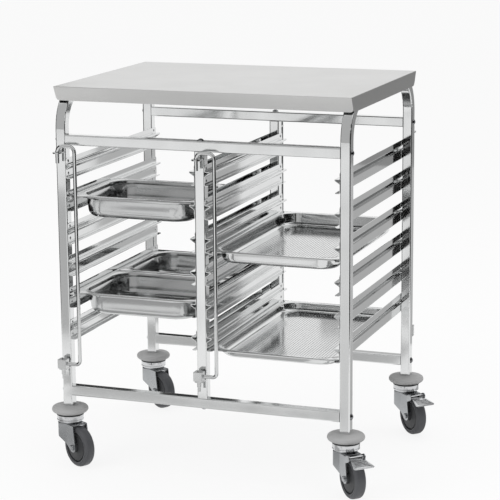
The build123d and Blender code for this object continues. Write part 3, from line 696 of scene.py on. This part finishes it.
core = wheel_ring(
    "core",
    [
        (4.2, 18.6),
        (11.6, 18.6),
        (12.4, 17.8),
        (12.9, 12.6),
        (13.6, 12.2),
        (33.3, 12.2),
        (34.2, 11.4),
        (34.5, 9.4),
        (35.9, 9.4),
        (36.2, 11.4),
        (36.9, 12),
        (38, 11.2),
    ],
)
tyre = wheel_ring(
    "tyre",
    [
        (38, 13.2),
        (40.2, 14),
        (41.2, 14),
        (41.7, 13.2),
        (42.6, 13.2),
        (43.1, 13.9),
        *arc((42, 6), 8, 80, 0, 7),
    ],
)
for corner in corners:
    low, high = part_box(f"{corner}_tyre")
    middle = (low + high) / 2
    finish_piece(
        set_down(core, f"{corner}_wheel_disc", middle, trails[corner]),
        core_plastic,
        f"{corner}_wheel",
        [f"{corner}_wheel_core"],
    )
    finish_piece(
        set_down(tyre, f"{corner}_rubber_tyre", middle, trails[corner]),
        tyre_rubber,
        f"{corner}_wheel",
        [f"{corner}_tyre"],
    )
bpy.data.objects.remove(core)
bpy.data.objects.remove(tyre)

# Brakes: a pedal of bright zinc-plated sheet with raised grip ribs, which tips on its pin, and a
# shoe under it that presses on the tread. The shoe is black rubber, almost without shine.
PEDAL_SLOPE = math.radians(-12)
PEDAL_LOW = -2.0
PEDAL_SHEET = 2.8
PEDAL_BEVEL = 0.6
RIB_WIDTH = 1.8
RIB_RISE = 1.2
RIB_BEVEL = 0.54
GRIP_RIBS = ((22, 34), (28, 36), (34, 38), (40, 40))
BOSS_RADIUS = 5.0
BOSS_WIDTH = 37.2
shoe_rubber = moulded("black_rubber", "#1B1C1D", "#202122", (0.6, 0.7), 0.001, 2e-5)
half_pedal = [
    (-11.6, 17.0),
    (-10.4, 18.2),
    (14.0, 18.4),
    (43.8, 26.0),
    (46.6, 25.8),
    (48.8, 24.2),
    (49.6, 21.6),
]
pedal = draw_outline("pedal", [*half_pedal, *[(x, -y) for x, y in reversed(half_pedal)]], "XY")
bpy.ops.transform.translate(value=(0, 0, PEDAL_LOW * MM))
bpy.ops.mesh.extrude_region_move(TRANSFORM_OT_translate={"value": (0, 0, PEDAL_SHEET * MM)})
bpy.ops.mesh.select_all(action="SELECT")
bpy.ops.mesh.normals_make_consistent(inside=False)
pick(pedal, "faces", lambda part, place: abs(part.normal.z) > 0.9)
bpy.ops.mesh.bevel(offset=PEDAL_BEVEL * MM, segments=3, affect="EDGES")
bpy.ops.object.mode_set(mode="OBJECT")
for x, length in GRIP_RIBS:
    bpy.ops.object.select_all(action="DESELECT")
    bpy.ops.mesh.primitive_cube_add(size=MM)
    rib = start_piece("rib")
    bpy.ops.transform.resize(value=(RIB_WIDTH, length, 2 * RIB_RISE))
    bpy.ops.transform.translate(value=(x * MM, 0, (PEDAL_LOW + PEDAL_SHEET) * MM))
    bpy.ops.mesh.bevel(offset=RIB_BEVEL * MM, segments=3, affect="EDGES")
    bpy.ops.object.mode_set(mode="OBJECT")
    join(pedal, rib)
bpy.ops.object.select_all(action="DESELECT")
bpy.ops.mesh.primitive_cylinder_add(
    vertices=32,
    radius=BOSS_RADIUS * MM,
    depth=BOSS_WIDTH * MM,
    rotation=(math.radians(90), 0, 0),
)
bpy.ops.object.transform_apply(location=False, rotation=True, scale=False)
boss = start_piece("boss")
pick(boss, "faces", lambda part, place: abs(part.normal.y) > 0.9)
bpy.ops.mesh.bevel(offset=PEDAL_BEVEL * MM, segments=3, affect="EDGES")
bpy.ops.object.mode_set(mode="OBJECT")
join(pedal, boss)
pedal.rotation_euler.y = -PEDAL_SLOPE
bpy.ops.object.transform_apply(location=False, rotation=True, scale=False)
for corner in corners[2:]:
    low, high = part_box(f"{corner}_brake_pin")
    finish_piece(
        set_down(pedal, f"{corner}_ribbed_pedal", (low + high) / 2, trails[corner]),
        bright_zinc,
        f"{corner}_brake",
        [f"{corner}_brake_pedal"],
    )
    dress(zinc, f"{corner}_brake_pin")
    dress(shoe_rubber, f"{corner}_brake_shoe")
bpy.data.objects.remove(pedal)

# Pans: drawn from stainless sheet, with a rolled rim, wide round corners and a round foot. The
# half pans have a stacking shoulder, and the full pans a floor pierced in staggered rows. Drawing
# leaves a soft mirror, brighter on the full pans. The cut edges are a dark grey, partly their matt
# shear and partly painted shade for the shadow under the pans that shows through the holes.
PAN_SHEET = 0.0008
RIM_HEIGHT = 0.003
RIM_ROUND = 0.0012
RIM_CORNER = 0.016
MOUTH_ROUND = 0.0025
DEEP_FORM = {"rim": 0.016, "corner": 0.058, "taper": 0.007, "foot": 0.017}
SHALLOW_FORM = {"rim": 0.013, "corner": 0.048, "taper": 0.005, "foot": 0.0112}
SHOULDER_DEPTH = 0.0095
SHOULDER_STEP = 0.001
CORNER_STEPS = 8
ROUND_STEPS = 5
ROW_SPACING = 0.007
HOLE_PITCH = 0.0081
HOLE_RADIUS = 0.002
HOLE_SIDES = 6
FIELD_MARGIN = 0.011
ROUND_SAG = 0.3


def loft(piece, middle, size, loops):
    """Draws round-cornered loops in the open mesh, each set in from the size, and joins them."""
    spans = []
    for inset, corner, height in loops:
        start = len(bmesh.from_edit_mesh(piece.data).verts)
        place = (middle.x, middle.y, height)
        bpy.ops.mesh.select_all(action="DESELECT")
        bpy.ops.mesh.primitive_plane_add(size=1, location=place)
        bpy.ops.transform.resize(
            value=(size.x - 2 * inset, size.y - 2 * inset, 1), center_override=place
        )
        bpy.ops.mesh.bevel(offset=corner, segments=CORNER_STEPS, affect="VERTICES")
        bpy.ops.mesh.delete(type="ONLY_FACE")
        spans.append(range(start, len(bmesh.from_edit_mesh(piece.data).verts)))
    for number, (outer, inner) in enumerate(zip(spans, spans[1:])):
        pick(piece, "verts", lambda part, place: part.index in outer or part.index in inner)
        if loops[number][2] == loops[number + 1][2]:
            bpy.ops.mesh.fill()
        else:
            bpy.ops.mesh.bridge_edge_loops()
    pick(piece, "verts", lambda part, place: part.index in spans[-1])


def row_of(piece, count, step):
    """Repeats a piece in a row and merges the copies where they meet."""
    add_modifier(
        piece,
        "ARRAY",
        count=count,
        use_relative_offset=False,
        use_constant_offset=True,
        constant_offset_displace=step,
        use_merge_vertices=True,
        merge_threshold=NEAR,
    )


def sieve_floor(middle, size, height):
    """A flat field of staggered holes, modelled as one cell and repeated, and its half size."""
    columns = int((size.x - 2 * FIELD_MARGIN) / (2 * ROW_SPACING))
    holes = int((size.y - 2 * FIELD_MARGIN) / HOLE_PITCH - 0.5)
    bpy.ops.object.select_all(action="DESELECT")
    bpy.ops.mesh.primitive_plane_add(size=1)
    sieve = start_piece("sieve_floor")
    bpy.ops.transform.resize(value=(ROW_SPACING, HOLE_PITCH, 1), center_override=(0, 0, 0))
    pick(sieve, "edges", lambda part, place: abs(place.x) > ROW_SPACING / 4)
    bpy.ops.mesh.subdivide(number_cuts=1)
    bpy.ops.mesh.select_all(action="SELECT")
    bpy.ops.mesh.delete(type="ONLY_FACE")
    pick(sieve, "edges", lambda part, place: place.length < ROW_SPACING / 4)
    bpy.ops.mesh.delete(type="EDGE")
    bpy.ops.mesh.primitive_circle_add(
        vertices=HOLE_SIDES, radius=HOLE_RADIUS, rotation=(0, 0, math.radians(180 / HOLE_SIDES))
    )
    bpy.ops.mesh.select_all(action="SELECT")
    bpy.ops.mesh.bridge_edge_loops()
    bpy.ops.object.mode_set(mode="OBJECT")
    row_of(sieve, holes, (0, HOLE_PITCH, 0))
    bpy.ops.object.mode_set(mode="EDIT")
    far_end = (holes - 0.5) * HOLE_PITCH
    pick(sieve, "edges", lambda part, place: abs(place.y - far_end) < NEAR)
    bpy.ops.mesh.extrude_region_move(TRANSFORM_OT_translate={"value": (0, HOLE_PITCH / 2, 0)})
    bpy.ops.mesh.select_all(action="SELECT")
    bpy.ops.mesh.duplicate_move(TRANSFORM_OT_translate={"value": (ROW_SPACING, 0, 0)})
    bpy.ops.transform.resize(value=(1, -1, 1), center_override=(0, far_end / 2, 0))
    bpy.ops.mesh.flip_normals()
    bpy.ops.object.mode_set(mode="OBJECT")
    row_of(sieve, columns, (2 * ROW_SPACING, 0, 0))
    bpy.ops.object.mode_set(mode="EDIT")
    bpy.ops.mesh.select_all(action="SELECT")
    bpy.ops.mesh.remove_doubles(threshold=NEAR)
    bpy.ops.object.mode_set(mode="OBJECT")
    low = Vector((-ROW_SPACING / 2, -HOLE_PITCH / 2, 0))
    high = Vector(((2 * columns - 0.5) * ROW_SPACING, far_end + HOLE_PITCH / 2, 0))
    sieve.location = Vector((middle.x, middle.y, height)) - (low + high) / 2
    bpy.ops.object.transform_apply(location=True, rotation=False, scale=False)
    return sieve, (high - low) / 2


def drawn_pan(name, replaced, pierced):
    """A pan drawn from sheet to the size of the pan that it stands for."""
    low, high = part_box(replaced)
    size = high - low
    middle = (low + high) / 2
    top = high.z
    floor = low.z + PAN_SHEET
    form = SHALLOW_FORM if pierced else DEEP_FORM
    mouth = form["rim"] + PAN_SHEET
    wall_corner = form["corner"] - PAN_SHEET
    lean = form["taper"] / (size.z - PAN_SHEET) * (top - floor - form["foot"])
    foot = mouth + lean
    foot_corner = wall_corner - lean
    shoulder = mouth + SHOULDER_STEP
    rim_sag = ROUND_SAG * RIM_ROUND
    mouth_sag = ROUND_SAG * MOUTH_ROUND
    loops = [
        (0, RIM_CORNER, top - RIM_HEIGHT),
        (0, RIM_CORNER, top - RIM_ROUND),
        (rim_sag, RIM_CORNER - rim_sag, top - rim_sag),
        (RIM_ROUND, RIM_CORNER - RIM_ROUND, top),
        (mouth - MOUTH_ROUND, wall_corner + MOUTH_ROUND, top),
        (mouth - mouth_sag, wall_corner + mouth_sag, top - mouth_sag),
        (mouth, wall_corner, top - MOUTH_ROUND),
    ]
    if not pierced:
        loops.append((mouth + 0.1 * SHOULDER_STEP, wall_corner, top - SHOULDER_DEPTH))
        loops.append((shoulder, wall_corner - SHOULDER_STEP, top - SHOULDER_DEPTH - SHOULDER_STEP))
    for step in range(ROUND_STEPS + 1):
        angle = math.radians(90) * step / ROUND_STEPS
        turn_in = form["foot"] * (1 - math.cos(angle))
        height = floor + form["foot"] * (1 - math.sin(angle))
        loops.append((foot + turn_in, foot_corner - turn_in, height))
    bpy.ops.object.select_all(action="DESELECT")
    bpy.ops.mesh.primitive_plane_add(size=1)
    pan = start_piece(name)
    bpy.ops.mesh.delete(type="VERT")
    loft(pan, middle, size, loops)
    if pierced:
        inset = loops[-1][0]
        field_size = Vector((size.x - 2 * inset, size.y - 2 * inset, 0))
        bpy.ops.object.mode_set(mode="OBJECT")
        sieve, half = sieve_floor(middle, field_size, floor)
        join(pan, sieve)
        bpy.ops.object.mode_set(mode="EDIT")
        pick(
            pan,
            "edges",
            lambda part, place: part.is_boundary
            and place.z < floor + NEAR
            and (
                abs(place.x - middle.x) > half.x - NEAR or abs(place.y - middle.y) > half.y - NEAR
            ),
        )
        bpy.ops.mesh.fill()
    else:
        bpy.ops.mesh.edge_face_add()
    outwards(pan, lambda place: place.z < floor + NEAR)
    bpy.ops.object.mode_set(mode="OBJECT")
    pan.data.materials.append(pierced_steel if pierced else pan_steel)
    pan.data.materials.append(cut_edge_and_painted_shade)
    add_modifier(pan, "SOLIDIFY", thickness=PAN_SHEET, offset=-1, material_offset_rim=1)
    return pan


pierced_steel = steel("bright_pierced_pans", "#E0E1E1", "#D8D9D9", (0.09, 0.15), 0, 5e-7)
pan_steel = steel("drawn_stainless_pans", "#CDCECE", "#C3C4C4", (0.15, 0.2), 0, 5e-7)
# Dark cut edges: matt shear, with painted shade for the shadow seen through the holes.
cut_edge_and_painted_shade = steel("sheared_stainless_edges", "#55565A", "#4A4B4E", (0.5, 0.6), 2, 1e-6)
for replaced, pierced in (
    ("upper_half_pan", False),
    ("lower_front_half_pan", False),
    ("lower_rear_half_pan", False),
    ("upper_perforated_pan", True),
    ("lower_perforated_pan", True),
):
    pan = drawn_pan(f"{replaced}_drawn", replaced, pierced)
    finish_piece(pan, pan.data.materials[0], replaced, [replaced])
